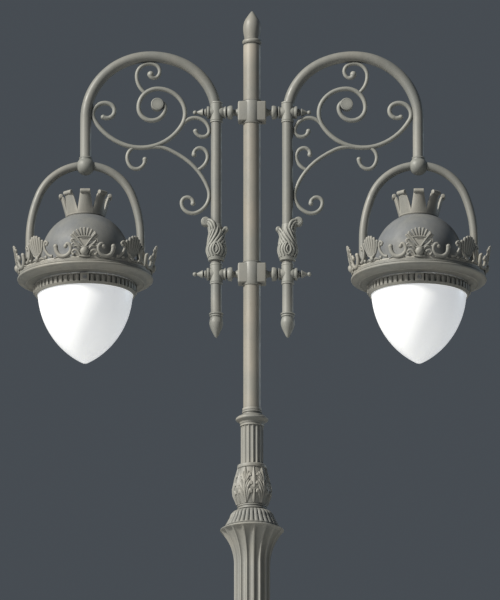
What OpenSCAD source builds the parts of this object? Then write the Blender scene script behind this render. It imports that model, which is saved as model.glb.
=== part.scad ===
// Ornamental street lamp post with two arms. Millimetres, +Z up, origin on the ground under the pole.
// +X points to the right-hand lamp and -Y to the front, where the access door is.

/* [Base] */
// Side of the square base plate
plate_w = 430; // [420:1:460]
// Thickness of the base plate
plate_t = 20; // [16:1:25]
// Spacing of the anchor bolt holes, along X and along Y
bolt_pitch = 350; // [345:1:360]
// Diameter of an anchor bolt hole
bolt_hole_d = 22; // [18:1:24]
// Width of the octagonal pedestal, across its flats
pedestal_w = 290; // [288:1:300]
// Height of the pedestal's straight body
pedestal_body_h = 435; // [430:1:460]
// Width of the door opening
door_open_w = 96; // [94:1:98]
// Height of the door opening
door_open_h = 300; // [290:1:310]

/* [Column] */
// Height of the column's flared top edge above the ground
column_top = 2200; // [1900:10:2500]
// Diameter of the fluted column
column_d = 156; // [150:1:160]
// Number of flutes round the column and the neck
flutes = 16; // [12:2:20]
// Height of the neck's top ring above the flared edge
neck_rise = 542; // [530:1:560]

/* [Pole] */
// Outer diameter of the pole tube
pole_d = 76.1; // [74:0.1:77]
// Wall of the pole tube
pole_wall = 3.6; // [3:0.1:5]
// Length of pole that shows between the capital and the finial
pole_run = 1641; // [1600:1:1800]

/* [Arms] */
// Distance from the pole's axis to an arm tube's axis
arm_offset = 155.5; // [154:0.5:160]
// Distance from the top of the pole to the middle of the upper clamp
clamp_drop = 302; // [290:1:320]
// Distance between the two clamps
clamp_pitch = 733; // [720:1:745]
// Outer diameter of an arm tube
arm_d = 48.3; // [48:0.1:48.5]
// Wall of an arm tube
arm_wall = 3.2; // [2.6:0.1:4]
// Radius of the arch beside the post
arch_r_post = 259; // [255:1:263]
// Radius of the arch over its middle
arch_r_mid = 326; // [320:1:332]
// Radius of the arch beside the lamp
arch_r_lamp = 283; // [280:1:286]
// Diameter of the main scroll's bar
scroll_bar_d = 20; // [16:0.5:22]
// Diameter of the lower scroll's bar
small_bar_d = 17; // [14:0.5:19]

/* [Lamp] */
// Radius of the canopy flange
flange_r = 296; // [294:1:300]
// Radius of the dome
dome_r = 192.5; // [190:0.5:194]
// Radius of the globe ring
ring_r = 222; // [221:0.5:223]
// Widest radius of the globe
globe_r = 207; // [206:0.1:207.2]
// Half the distance between the yoke's legs, centre to centre
yoke_half = 242; // [240:0.5:243]
// Outer diameter of the yoke tube
yoke_d = 37; // [34:0.5:38]
// Wall of the globe
globe_wall = 4; // [3:0.5:5]

/* [Hidden] */
$fn = 64;
small_gap = 0.1;
run_gap = 0.05;
pin_gap = 0.1;
weld_gap = 0.9;
pole_r = pole_d / 2;
arm_r = arm_d / 2;
arm_sides = 16;
yoke_r = yoke_d / 2;
column_r = column_d / 2;

// Heights up the post
plinth_h = 75;
plinth_w = 380;
body_z = plate_t + plinth_h + 30;
body_top = body_z + pedestal_body_h;
column_z = body_top + 180;
gadroon_h = 81;
vase_h = 224;
vase_z = column_top + gadroon_h;
neck_z = vase_z + vase_h;
neck_r = 48.7;
capital_h = 88;
set_screw_r = 3.9;
capital_z = column_top + neck_rise - capital_h;
pole_top = capital_z + capital_h + pole_run;
upper_z = pole_top - clamp_drop;
lower_z = upper_z - clamp_pitch;
socket_r = pole_r + small_gap;
pole_foot = column_top - 200;
column_bore_r = 62;

// Arms: the arch is three tangent arcs that together turn through half a circle
arch_post_sweep = 65;
arch_mid_sweep = 90 - arch_post_sweep;
arch_arcs = [[-arch_r_post, arch_post_sweep], [-arch_r_mid, arch_mid_sweep], [-arch_r_lamp, 90]];
arch_span = arch_r_post + (arch_r_mid - arch_r_post) * cos(arch_post_sweep) + arch_r_lamp;
arch_drop = arch_r_lamp - arch_r_mid - (arch_r_post - arch_r_mid) * sin(arch_post_sweep);
lamp_offset = arm_offset + arch_span;
arch_z = upper_z - 11;
arm_foot = lower_z - 175;
ball_z = upper_z - 244;
ball_r = 40;
tail_gap = 38;

// Clamps, collars and spindles, measured outward from the arm tube's axis where they are turned parts
block_w = 122.4;
block_d = 70;
block_h = 89;
sleeve_r = 42;
sleeve_h = 110;
collar_r = 27.8;
collar_h = 94;
block_face = arm_offset - block_w / 2;

// Lamp heights, all hung from the ball joint
yoke_spring = ball_z - 336;
yoke_side_r = 544;
yoke_top_r = 219;
yoke_rise = sqrt(pow(yoke_side_r - yoke_top_r, 2) - pow(yoke_side_r - yoke_half, 2));
yoke_turn = atan2(yoke_rise, yoke_side_r - yoke_half);
flange_z = ball_z - 492;
flange_low = flange_z - 47;
dome_z = flange_z + 80.6;
ring_top = flange_z - 51;
ring_low = flange_z - 96;
lip_r = 209;
ledge_z = ring_low + 5;
globe_side_r = 371;
globe_tip_r = 30.6;
globe_mid = flange_z - 70;
tray_z = flange_low + 10;
bulb_z = tray_z - 65;
vent_z = dome_z + 174;
crown_h = 131;
hinge_y = ring_r + 14;
hinge_z = ring_top - 6;
hinge_barrel_r = 7;
hinge_pin_r = 4;
catch_z = ring_top - 19;
catch_r = 6;
bar_half = 14;
bar_w = 8;

// Door
face_y = pedestal_w / 2;
wall_t = 10;
door_z = body_z + 65;
door_t = 5;
door_lap = 10;
door_gap = 0.3;
hinge_x = door_open_w / 2 + 14;
door_axis_y = face_y + 7;
barrel_r = 6;
door_left = -door_open_w / 2 - door_lap;
door_right = hinge_x - barrel_r - 0.6;
door_pin_r = 3;
knuckle_h = 20;
lock_x = -36;
lock_z = door_z + door_open_h / 2;
lock_r = 9;

// Bar scrolls: start beside the arm tube and above the upper clamp, heading, arcs as [radius, sweep]
main_scroll_arcs = [[29, 110], [58, 171], [84, 97], [123, 54], [105, 65], [206, 58], [208, 23], [250, 40],
    [52, 149], [33, 180]];
top_curl_arcs = [[97, 53], [56, 117], [33, 111], [17, 125]];
side_curl_arcs = [[59, 54], [63, 86], [26, 71], [32, 102]];
under_curl_arcs = [[-49, 54], [-63, 41], [-33, 85], [-44, 59]];
lower_scroll_arcs = [[139, 32], [452, 9], [290, 35], [86, 89], [48, 111], [25, 188]];
lower_curl_arcs = [[-71, 47], [-47, 52], [-32, 43], [-26, 112]];
curl_ball_r = 11;

cast_grey = [0.46, 0.47, 0.45];
dome_grey = [0.36, 0.38, 0.40];
steel_grey = [0.62, 0.62, 0.62];
opal_white = [0.96, 0.97, 1.0];
rubber_black = [0.12, 0.12, 0.12];

// ---- helpers ----

// Repeats its children round the Z axis
module around(count, first = 0) {
    for (i = [0 : count - 1])
        rotate([0, 0, first + i * 360 / count]) children();
}

// Solid of revolution about Z, raised to a height
module turned(z) {
    translate([0, 0, z]) rotate_extrude() children();
}

// Half of a 2D shape that lies on the right of the axis
module right_half(reach) {
    intersection() {
        children();
        translate([0, -reach]) square([reach, 2 * reach]);
    }
}

// Puts children on the right side, or mirrors them to the left side
module on_side(side) {
    mirror([side < 0 ? 1 : 0, 0, 0]) children();
}

// Puts children at a lamp's axis
module at_lamp(side) {
    translate([side * lamp_offset, 0, 0]) children();
}

// A solid turned about a horizontal axis that points away from the post, starting at the arm tube
module turned_outward() {
    translate([arm_offset, 0, 0]) rotate([0, 90, 0]) rotate_extrude() children();
}

// One step along an arc in the XZ plane. A state is [x, z, heading]; a negative radius bends to the right
function arc_step(s, r, sweep) = let(h = s[2] + sign(r) * sweep)
    [s[0] + r * (sin(h) - sin(s[2])), s[1] - r * (cos(h) - cos(s[2])), h];

// States along a run of tangent arcs [radius, sweep], no more than max_turn apart
function route(s, arcs, max_turn, i = 0) = i == len(arcs) ? [s] :
    let(r = arcs[i][0], sweep = arcs[i][1], n = ceil(sweep / max_turn))
    concat([for (k = [0 : n - 1]) arc_step(s, r, sweep * k / n)],
        route(arc_step(s, r, sweep), arcs, max_turn, i + 1));

// Points of a many-sided section square to the heading
function section_ring(s, r, sides) = [for (k = [0 : sides - 1]) let(t = 360 * (k + 0.5) / sides)
    [s[0] - r * cos(t) * sin(s[2]), r * sin(t), s[1] + r * cos(t) * cos(s[2])]];

// Faces between neighbouring section rings, turned inside out for a bore
function skin(rings, sides, first, inward) = [for (i = [0 : rings - 2], k = [0 : sides - 1])
    let(a = first + i * sides, n = (k + 1) % sides)
    inward ? [a + n, a + k, a + sides + k, a + sides + n] : [a + k, a + n, a + sides + n, a + sides + k]];

// Solid bar along a route
module swept_bar(states, r, sides) {
    n = len(states);
    polyhedron(
        points = [for (s = states) each section_ring(s, r, sides)],
        faces = concat(skin(n, sides, 0, false),
            [[for (k = [sides - 1 : -1 : 0]) k], [for (k = [0 : sides - 1]) (n - 1) * sides + k]]));
}

// Tube along a route
module swept_tube(states, r, wall, sides) {
    n = len(states);
    m = n * sides;
    last = (n - 1) * sides;
    polyhedron(
        points = concat([for (s = states) each section_ring(s, r, sides)],
            [for (s = states) each section_ring(s, r - wall, sides)]),
        faces = concat(skin(n, sides, 0, false), skin(n, sides, m, true),
            [for (k = [0 : sides - 1]) let(b = (k + 1) % sides) [b, k, m + k, m + b]],
            [for (k = [0 : sides - 1]) let(b = (k + 1) % sides)
                [last + k, last + b, m + last + b, m + last + k]]));
}

// A round bar along tangent arcs in the arm's own plane, with a ball at its end
module scroll_bar(start, heading, arcs, bar_r, end_r) {
    states = route([arm_offset + start[0], upper_z + start[1], heading], arcs, 18);
    end = states[len(states) - 1];
    swept_bar(states, bar_r, 8);
    translate([end[0], 0, end[1]]) sphere(end_r);
}

module tube_section(r, wall) {
    difference() {
        circle(r);
        circle(r - wall);
    }
}

module tube(r, wall, h) {
    linear_extrude(h) tube_section(r, wall);
}

module octagon(across_flats, h) {
    rotate([0, 0, 22.5]) cylinder(r = across_flats / 2 / cos(22.5), h = h, $fn = 8);
}

// ---- base ----

module base_plate() color(cast_grey) {
    difference() {
        translate([-plate_w / 2, -plate_w / 2, 0]) cube([plate_w, plate_w, plate_t]);
        for (x = [-1, 1], y = [-1, 1])
            translate([x * bolt_pitch / 2, y * bolt_pitch / 2, -1])
                cylinder(d = bolt_hole_d, h = plate_t + 2);
        translate([0, 0, -1]) cylinder(r = 55, h = plate_t + 2);
    }
}

module door_lug(z) {
    translate([hinge_x, -door_axis_y, z]) cylinder(r = barrel_r, h = knuckle_h);
    translate([hinge_x - 3, -door_axis_y, z]) cube([6, 14, knuckle_h]);
}

module pedestal() color(cast_grey) {
    difference() {
        union() {
            translate([0, 0, plate_t]) octagon(plinth_w, plinth_h);
            translate([0, 0, plate_t + plinth_h]) cylinder(r = 168, h = body_z - plate_t - plinth_h);
            translate([0, 0, body_z]) octagon(pedestal_w, pedestal_body_h);
            turned(body_top) pedestal_top_outline();
            for (z = [door_z + 20, door_z + 2 * knuckle_h + 21, door_z + door_open_h - 3 * knuckle_h - 21,
                    door_z + door_open_h - knuckle_h - 20])
                door_lug(z);
        }
        translate([0, 0, plate_t - 1]) octagon(pedestal_w - 2 * wall_t, body_top - plate_t - wall_t);
        translate([0, 0, body_top - wall_t - 2]) cylinder(r = column_bore_r, h = column_z - body_top + 20);
        translate([-door_open_w / 2, -face_y - 1, door_z]) cube([door_open_w, wall_t + 2, door_open_h]);
        translate([hinge_x, -door_axis_y, door_z]) cylinder(r = door_pin_r + pin_gap, h = door_open_h);
    }
}

// Round cornice, cove and collar between the octagonal body and the column
module pedestal_top_outline() {
    top = column_z - body_top;
    square([150, 14]);
    square([160, 10]);
    translate([0, 10]) right_half(200) translate([148, 12]) circle(12);
    translate([0, 10]) square([148, 24]);
    difference() {
        translate([0, 34]) square([140, 100]);
        translate([186, 140]) circle(100);
    }
    translate([0, 130]) square([93, top - 130]);
    right_half(200) translate([92, top - 22]) circle(10);
}

module access_door() color(cast_grey) {
    difference() {
        union() {
            translate([door_left, -face_y - door_gap - door_t, door_z - door_lap])
                cube([door_right - door_left, door_t, door_open_h + 2 * door_lap]);
            for (z = [door_z + knuckle_h + 20.5, door_z + door_open_h - 2 * knuckle_h - 20.5]) {
                translate([hinge_x, -door_axis_y, z]) cylinder(r = barrel_r, h = knuckle_h);
                translate([hinge_x - 12, -door_axis_y - 3, z]) cube([12, 6, knuckle_h]);
            }
        }
        for (z = [door_z + knuckle_h + 20, door_z + door_open_h - 2 * knuckle_h - 21])
            translate([hinge_x, -door_axis_y, z]) cylinder(r = door_pin_r + pin_gap, h = knuckle_h + 1);
        translate([lock_x, 0, lock_z]) rotate([90, 0, 0]) cylinder(r = lock_r + run_gap, h = face_y + 20);
    }
}

module door_hinge_pins() color(steel_grey) {
    for (z = [door_z + 20, door_z + door_open_h - 3 * knuckle_h - 21])
        translate([hinge_x, -door_axis_y, z]) {
            cylinder(r = door_pin_r, h = 3 * knuckle_h + 1.2);
            translate([0, 0, 3 * knuckle_h + 1.2]) cylinder(r = 4.5, h = 3);
        }
}

// Quarter-turn lock: round head with a three-sided key recess, shaft and tongue
module door_lock() color(steel_grey) {
    translate([lock_x, 0, lock_z]) rotate([90, 0, 0]) {
        difference() {
            union() {
                translate([0, 0, face_y - wall_t - 4]) cylinder(r = lock_r, h = wall_t + door_t + 5);
                translate([0, 0, face_y + door_gap + door_t + 0.2]) cylinder(r = 13, h = 4);
            }
            translate([0, 0, face_y + 1]) cylinder(r = 5, h = 20, $fn = 3);
        }
        translate([-5, -5, face_y - wall_t - 4]) cube([10, 24, 3]);
    }
}

module fuse_box() color(rubber_black) {
    translate([-45, face_y - wall_t - 60, door_z + 70]) cube([90, 60, 150]);
    translate([-40, face_y - wall_t - 64, door_z + 75]) cube([80, 4, 140]);
    for (x = [-20, 20])
        translate([x, face_y - wall_t - 30, door_z + 58]) cylinder(r = 9, h = 12);
}

// ---- column ----

module flute_cuts(r, cut_r, z, h) {
    around(flutes, 180 / flutes)
        translate([r + cut_r * 0.55, 0, z]) cylinder(r = cut_r, h = h, $fn = 32);
}

module flare_outline() {
    difference() {
        square([138, 190]);
        translate([column_r + 230, 30]) circle(230, $fn = 128);
    }
    translate([0, 184]) square([138, 6]);
}

module fluted_column() color(cast_grey) {
    flare_h = 190;
    difference() {
        union() {
            translate([0, 0, column_z]) cylinder(r = column_r, h = column_top - column_z);
            turned(column_top - flare_h) flare_outline();
        }
        translate([0, 0, column_z - 1]) cylinder(r = column_bore_r, h = column_top - column_z - 119);
        translate([0, 0, column_top - 121]) cylinder(r = socket_r, h = 122);
        flute_cuts(column_r, 9, column_z + 60, column_top - column_z - flare_h - 60);
    }
}

module gadroon_ring() color(cast_grey) {
    difference() {
        turned(column_top) polygon([[0, 0], [128, 0], [128, 8], [113, 30], [105, 40], [101, 48], [98, 57],
            [95, 66], [88, 75], [78, gadroon_h], [0, gadroon_h]]);
        translate([0, 0, column_top - 1]) cylinder(r = socket_r, h = gadroon_h + 2);
    }
}

module leaf_vase() color(cast_grey) {
    difference() {
        turned(vase_z)
            polygon([[0, 0], [69, 0], [69, 11], [64, 12], [64, 20], [62.5, 22], [64.6, 30], [73.5, 48],
                [82.7, 71], [86.9, 93], [81.3, 116], [75.3, 138], [67.6, 161], [60.5, 197], [63.7, 211],
                [60, vase_h], [0, vase_h]]);
        translate([0, 0, vase_z - 1]) cylinder(r = socket_r, h = vase_h + 2);
    }
}

// Fluted neck under a coved capital and a plain ring
module fluted_neck() color(cast_grey) {
    difference() {
        union() {
            translate([0, 0, neck_z]) cylinder(r = neck_r, h = capital_z - neck_z);
            turned(capital_z) polygon([[0, 0], [neck_r, 0], [50, 8], [55, 20], [63, 30], [71, 36], [71, 46],
                [66, 50], [66, 54], [48, 62], [43, 64], [43, capital_h], [0, capital_h]]);
        }
        translate([0, 0, neck_z - 1]) cylinder(r = socket_r, h = capital_z + capital_h - neck_z + 2);
        flute_cuts(neck_r, 5.5, neck_z + 12, capital_z - neck_z - 20);
        at_set_screws() cylinder(r = set_screw_r + small_gap, h = 80);
    }
}

// Set screws through the back of the capital, square to the pole
module at_set_screws() {
    for (turn = [45, 135])
        rotate([0, 0, turn]) translate([pole_r - 2, 0, capital_z + 41]) rotate([0, 90, 0]) children();
}

module neck_set_screws() color(steel_grey) {
    at_set_screws() translate([0, 0, 2.2]) difference() {
        cylinder(r = set_screw_r, h = 26);
        translate([0, 0, 21]) cylinder(r = 2.3, h = 6, $fn = 6);
    }
}

module pole_tube() color(cast_grey) {
    translate([0, 0, pole_foot]) tube(pole_r, pole_wall, pole_top - pole_foot);
}

// Bead, waist and pointed bud on a spigot inside the pole
module pole_finial() color(cast_grey) {
    turned(pole_top) {
        translate([0, -40]) square([pole_r - pole_wall - small_gap, 41]);
        square([38, 10]);
        right_half(60) translate([30, 18]) circle(12.3);
        polygon([[0, 5], [36, 5], [34.8, 41], [37.5, 60], [39, 77], [38, 95], [33.5, 113], [26, 127],
            [17, 141], [9, 152], [4, 158], [0, 160]]);
    }
}

// ---- clamps ----

module clamp_at(z) {
    difference() {
        union() {
            translate([0, 0, z - sleeve_h / 2]) cylinder(r = sleeve_r, h = sleeve_h);
            translate([-block_w / 2, -block_d / 2, z - block_h / 2]) cube([block_w, block_d, block_h]);
        }
        translate([0, 0, z - sleeve_h / 2 - 1]) cylinder(r = socket_r, h = sleeve_h + 2);
        for (s = [-1, 1])
            translate([0, 0, z + s * 25]) rotate([-90, 0, 0]) cylinder(r = 6, h = 60);
    }
}

module upper_clamp() color(cast_grey) clamp_at(upper_z);

module lower_clamp() color(cast_grey) clamp_at(lower_z);

module clamp_screws() color(steel_grey) {
    for (z = [upper_z, lower_z], s = [-1, 1])
        translate([0, pole_r + 0.5, z + s * 25]) rotate([-90, 0, 0]) difference() {
            cylinder(r = 5.9, h = 3);
            translate([0, 0, 0.8]) cylinder(r = 3, h = 3, $fn = 6);
        }
}

// Bell, bulb and neck between a collar and a clamp block; y is the distance back towards the post
module spindle_outline() {
    polygon([[0, 24], [22, 24], [24.5, 32], [27.8, 39], [14, 41], [14, 43], [22, 44], [27, 50], [30, 57],
        [31, 63.5], [29, 70], [15, 71], [13, 76], [15, 86], [20, block_face], [0, block_face]]);
}

module spindles() color(cast_grey) {
    for (side = [-1, 1], z = [upper_z, lower_z])
        on_side(side) translate([0, 0, z]) difference() {
            translate([arm_offset, 0, 0]) rotate([0, -90, 0]) rotate_extrude() spindle_outline();
            translate([arm_offset, 0, -40]) cylinder(r = collar_r + small_gap, h = 80);
        }
}

// Flared disc, bead, cone and ball that point away from the post
module spindle_finials() color(cast_grey) {
    for (side = [-1, 1], z = [upper_z, lower_z])
        on_side(side) translate([0, 0, z]) difference() {
            turned_outward() {
                polygon([[0, 22], [19, 22], [20, 24], [28, 31], [28, 42], [14, 43], [17, 49], [14, 55],
                    [9, 57], [17.8, 60], [8, 80], [5, 83], [5, 90], [0, 90]]);
                right_half(120) translate([0, 91.5]) circle(9.5);
            }
            translate([arm_offset, 0, -40]) cylinder(r = collar_r + small_gap, h = 80);
        }
}

// The upper collars are shorter above, where their bore is eased for the start of the bend
module arm_collars() color(cast_grey) {
    upper_h = collar_h / 2 + 21;
    bend_ease = 2.6;
    for (side = [-1, 1]) {
        translate([side * arm_offset, 0, lower_z - collar_h / 2])
            tube(collar_r, collar_r - arm_r - small_gap, collar_h);
        translate([side * arm_offset, 0, upper_z - collar_h / 2]) difference() {
            tube(collar_r, collar_r - arm_r - small_gap, upper_h);
            translate([side * bend_ease, 0, arch_z - upper_z + collar_h / 2])
                cylinder(r = arm_r + small_gap, h = upper_h);
        }
    }
}

// ---- arms ----

module arm_tube(side) color(cast_grey) {
    states = concat([[arm_offset, arm_foot, 90]], route([arm_offset, arch_z, 90], arch_arcs, 10),
        [[lamp_offset, ball_z + tail_gap, -90]]);
    on_side(side) swept_tube(states, arm_r, arm_wall, arm_sides);
}

module main_scroll(side) color(cast_grey) {
    on_side(side) {
        translate([arm_offset + 258, 16, upper_z + 36]) rotate([90, 0, 0]) cylinder(r = 28, h = 32);
        scroll_bar([261, 48], 163, main_scroll_arcs, scroll_bar_d / 2, curl_ball_r);
        scroll_bar([313.5, 91], 40, top_curl_arcs, small_bar_d / 2, 15);
        scroll_bar([142.5, -49], 125, side_curl_arcs, small_bar_d / 2, curl_ball_r);
        scroll_bar([366.5, -163], -33, under_curl_arcs, small_bar_d / 2, curl_ball_r);
    }
}

module lower_scroll(side) color(cast_grey) {
    on_side(side) {
        scroll_bar([279, -157], 174, lower_scroll_arcs, small_bar_d / 2, curl_ball_r);
        scroll_bar([77, -258], 154, lower_curl_arcs, small_bar_d / 2, curl_ball_r);
    }
}

// Leafed sleeve over the arm tube, with a large knob outside and a small curl towards the post
module leaf_sleeve(side) color(cast_grey) {
    foot = lower_z + 56;
    on_side(side) translate([arm_offset, 0, foot]) difference() {
        union() {
            rotate_extrude() polygon([[0, 0], [36.5, 0], [36.5, 22], [43.7, 46], [42, 70], [36, 110],
                [34, 140], [28, 170], [0, 170]]);
            translate([48, 20, 181]) rotate([90, 0, 0]) cylinder(r = 22, h = 40);
            translate([20, -12, 130]) cube([22, 24, 50]);
            translate([-41, 14, 149]) rotate([90, 0, 0]) cylinder(r = 12, h = 28);
        }
        translate([0, 0, -1]) cylinder(r = arm_r + small_gap, h = 220);
    }
}

// Ring and acorn on a spigot inside the arm tube
module arm_finial(side) color(cast_grey) {
    translate([side * arm_offset, 0, 0]) turned(arm_foot - 111) {
        translate([0, 110]) square([(arm_r - arm_wall) * cos(180 / arm_sides) - 2 * small_gap, 30]);
        polygon([[0, 0], [4, 1], [8, 6], [18, 26], [26, 44], [30.6, 62], [30, 74], [27, 88], [27, 98],
            [31.8, 101], [31.8, 111], [0, 111]]);
    }
}

module yoke(side) color(cast_grey) {
    bend = [[yoke_side_r, yoke_turn], [yoke_top_r, 180 - 2 * yoke_turn], [yoke_side_r, yoke_turn]];
    states = concat([[yoke_half, flange_z, 90]], route([yoke_half, yoke_spring, 90], bend, 10),
        [[-yoke_half, flange_z, 270]]);
    at_lamp(side) swept_tube(states, yoke_r, 3, 12);
}

module ball_joint(side) color(cast_grey) {
    at_lamp(side) difference() {
        union() {
            translate([0, 0, ball_z]) sphere(ball_r);
            translate([0, 0, ball_z + 32]) cylinder(r = 28, h = 10);
        }
        translate([0, 0, ball_z + tail_gap - 0.2]) cylinder(r = arm_r + small_gap, h = 20);
        translate([0, 0, yoke_spring + yoke_rise]) rotate([90, 0, 0]) rotate([0, 0, 60])
            rotate_extrude(angle = 60) translate([yoke_top_r, 0]) circle(yoke_r + weld_gap);
    }
}

// ---- lamp canopy ----

module vent_crown(side) color(dome_grey) {
    at_lamp(side) {
        difference() {
            turned(vent_z) polygon([[74, -6], [81, 0], [107, 96], [100, 96], [75, 4], [70, -4]]);
            around(8, 22.5) translate([0, 0, vent_z]) rotate([90, 0, 90])
                linear_extrude(140) polygon([[-5, 14], [5, 14], [26, 110], [-26, 110]]);
            translate([0, 0, dome_z]) sphere(dome_r + small_gap);
        }
        around(8) translate([107, -20, vent_z + 97]) rotate([-90, 0, 0]) cylinder(r = 8, h = 40);
    }
}

module dome(side) color(dome_grey) {
    wall = 4;
    at_lamp(side) difference() {
        union() {
            translate([0, 0, flange_z]) cylinder(r = dome_r, h = dome_z - flange_z);
            translate([0, 0, dome_z]) sphere(dome_r);
        }
        translate([0, 0, dome_z]) sphere(dome_r - wall);
        translate([0, 0, flange_z - dome_r]) cylinder(r = dome_r + 1, h = dome_r);
        translate([0, 0, flange_z - 1]) cylinder(r = dome_r - wall, h = dome_z - flange_z + 1);
    }
}

// Hollow rim, open towards the lamp's axis: top plate, rolled edge and bottom plate
module flange_outline() {
    r_in = dome_r - 8;
    h = flange_z - flange_low;
    difference() {
        union() {
            translate([r_in, 12]) square([292 - r_in, h - 12]);
            translate([r_in, 8]) square([flange_r - 8 - r_in, 20]);
            translate([flange_r - 15, 20]) circle(15);
            translate([r_in + 9, 0]) square([40, 8]);
            translate([r_in + 9, 4]) square([flange_r - 20 - r_in, 8]);
        }
        translate([r_in - 1, 10]) square([flange_r - 22 - r_in, h - 16]);
        translate([r_in - 1, -1]) square([14, 12]);
    }
}

module flange(side) color(cast_grey) {
    at_lamp(side) difference() {
        union() {
            turned(flange_low) flange_outline();
            for (x = [-20, 12])
                translate([x, hinge_y, hinge_z]) rotate([0, 90, 0]) cylinder(r = hinge_barrel_r, h = 8);
            for (x = [-20, 12])
                translate([x, hinge_y - 6, hinge_z]) cube([8, 12, flange_low - hinge_z + 6]);
            translate([0, -ring_r + 11, catch_z - bar_w / 2 - 1]) {
                translate([-21, 0, -4]) cube([3, 12, flange_low - catch_z + 13]);
                translate([-catch_r - 13, 0, -4]) cube([11, 12, 4]);
            }
        }
        translate([-30, hinge_y, hinge_z]) rotate([0, 90, 0]) cylinder(r = hinge_pin_r + run_gap, h = 60);
    }
}

// Wedge of a quarter turn's crown between two angles, everything above a height
module crown_cut(from, to, low) {
    reach = 2 * flange_r;
    translate([0, 0, flange_z + low]) linear_extrude(crown_h)
        polygon([[0, 0], [reach * cos(from), reach * sin(from)], [reach * cos(to), reach * sin(to)]]);
}

// Standing flared band, cut away between its four tall cartouches and four shorter shells
module crown_ornament(side) color(cast_grey) {
    base = 289;
    tip = base + 28;
    at_lamp(side) difference() {
        turned(flange_z) polygon([[base - 5, 0], [base, 0], [tip, crown_h], [tip - 5, crown_h]]);
        around(4) {
            crown_cut(11, 36.5, 70);
            crown_cut(53.5, 79, 70);
            crown_cut(30, 60, 115);
        }
    }
}

module gear_tray(side) color(steel_grey) {
    at_lamp(side) translate([0, 0, tray_z]) cylinder(r = dome_r + 14, h = 2);
}

module gear_box(side) color(rubber_black) {
    at_lamp(side) translate([-70, -45, tray_z + 2]) cube([140, 90, 62]);
}

module lamp_holder(side) color(opal_white) {
    at_lamp(side) difference() {
        translate([0, 0, bulb_z]) cylinder(r = 24, h = tray_z - bulb_z);
        translate([0, 0, bulb_z - 1]) cylinder(r = 20, h = 40);
    }
}

module lamp_bulb(side) color(opal_white) {
    at_lamp(side) turned(bulb_z - 130) {
        translate([0, 120]) square([19, 49]);
        polygon([[0, 0], [14, 2], [27, 10], [36, 26], [37, 42], [33, 70], [24, 100], [19, 122], [0, 122]]);
    }
}

// ---- opening globe ----

module globe_ring(side) color(cast_grey) {
    at_lamp(side) difference() {
        union() {
            turned(ring_low) polygon([[lip_r, 0], [214, 0], [217, 4], [ring_r, 10], [ring_r, 45], [215, 45],
                [215, ledge_z - ring_low], [lip_r, ledge_z - ring_low]]);
            translate([-11.5, hinge_y, hinge_z]) rotate([0, 90, 0]) cylinder(r = hinge_barrel_r, h = 23);
            translate([-11.5, ring_r - 4, hinge_z - hinge_barrel_r]) cube([23, 18, 10]);
            translate([-20, -ring_r - 2, ring_low + 10]) cube([40, 8, 35]);
        }
        translate([-12, hinge_y, hinge_z]) rotate([0, 90, 0]) cylinder(r = hinge_pin_r + run_gap, h = 24);
        translate([0, 0, catch_z]) rotate([90, 0, 0]) cylinder(r = catch_r + run_gap, h = ring_r + 10);
    }
}

module globe_gasket(side) color(rubber_black) {
    at_lamp(side) translate([0, 0, ledge_z + 4.1]) tube(214.5, 7, 4);
}

// The globe's outline: a long side arc that runs into a small round tip
module globe_outline(inset) {
    side_x = globe_r - globe_side_r;
    reach = globe_side_r - globe_tip_r;
    tip_z = globe_mid - sqrt(pow(reach, 2) - pow(side_x, 2));
    join_z = tip_z - globe_tip_r * (globe_mid - tip_z) / reach;
    intersection() {
        translate([side_x, globe_mid]) circle(globe_side_r - inset, $fn = 256);
        translate([0, join_z]) square([globe_r, globe_mid - join_z]);
    }
    intersection() {
        translate([0, tip_z]) circle(globe_tip_r - inset);
        translate([0, tip_z - globe_tip_r]) square([globe_tip_r, join_z - tip_z + globe_tip_r + 1]);
    }
}

module globe(side) color(opal_white) {
    at_lamp(side) difference() {
        union() {
            intersection() {
                rotate_extrude() globe_outline(0);
                cylinder(r = globe_r + 1, h = ledge_z + 4);
            }
            translate([0, 0, ledge_z]) cylinder(r = 214.5, h = 4);
        }
        rotate_extrude() globe_outline(globe_wall);
    }
}

module hinge_pin(side) color(steel_grey) {
    at_lamp(side) translate([-21, hinge_y, hinge_z]) rotate([0, 90, 0]) {
        cylinder(r = hinge_pin_r, h = 42);
        translate([0, 0, -2]) cylinder(r = 6, h = 2.9);
    }
}

// Slotted stud through the ring's front block; its one arm turns down over the flange's ledge
module catch(side) color(steel_grey) {
    at_lamp(side) translate([0, 0, catch_z]) rotate([90, 0, 0]) {
        difference() {
            union() {
                translate([0, 0, ring_r - 19]) cylinder(r = catch_r, h = 22);
                translate([0, 0, ring_r + 2.2]) cylinder(r = 9, h = 3);
            }
            translate([-8, -1.5, ring_r + 3.4]) cube([16, 3, 3]);
        }
        translate([-bar_w / 2, 0, ring_r - 19]) cube([bar_w, bar_half, 4]);
    }
}

base_plate();
pedestal();
access_door();
door_hinge_pins();
door_lock();
fuse_box();
fluted_column();
gadroon_ring();
leaf_vase();
fluted_neck();
neck_set_screws();
pole_tube();
pole_finial();
upper_clamp();
lower_clamp();
clamp_screws();
spindles();
spindle_finials();
arm_collars();
arm_tube(-1);  // left_arm_tube
main_scroll(-1);  // left_main_scroll
lower_scroll(-1);  // left_lower_scroll
leaf_sleeve(-1);  // left_leaf_sleeve
arm_finial(-1);  // left_arm_finial
ball_joint(-1);  // left_ball_joint
yoke(-1);  // left_yoke
vent_crown(-1);  // left_vent_crown
dome(-1);  // left_dome
flange(-1);  // left_flange
crown_ornament(-1);  // left_crown_ornament
gear_tray(-1);  // left_gear_tray
gear_box(-1);  // left_gear_box
lamp_holder(-1);  // left_lamp_holder
lamp_bulb(-1);  // left_lamp_bulb
globe_ring(-1);  // left_globe_ring
globe_gasket(-1);  // left_globe_gasket
globe(-1);  // left_globe
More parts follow.
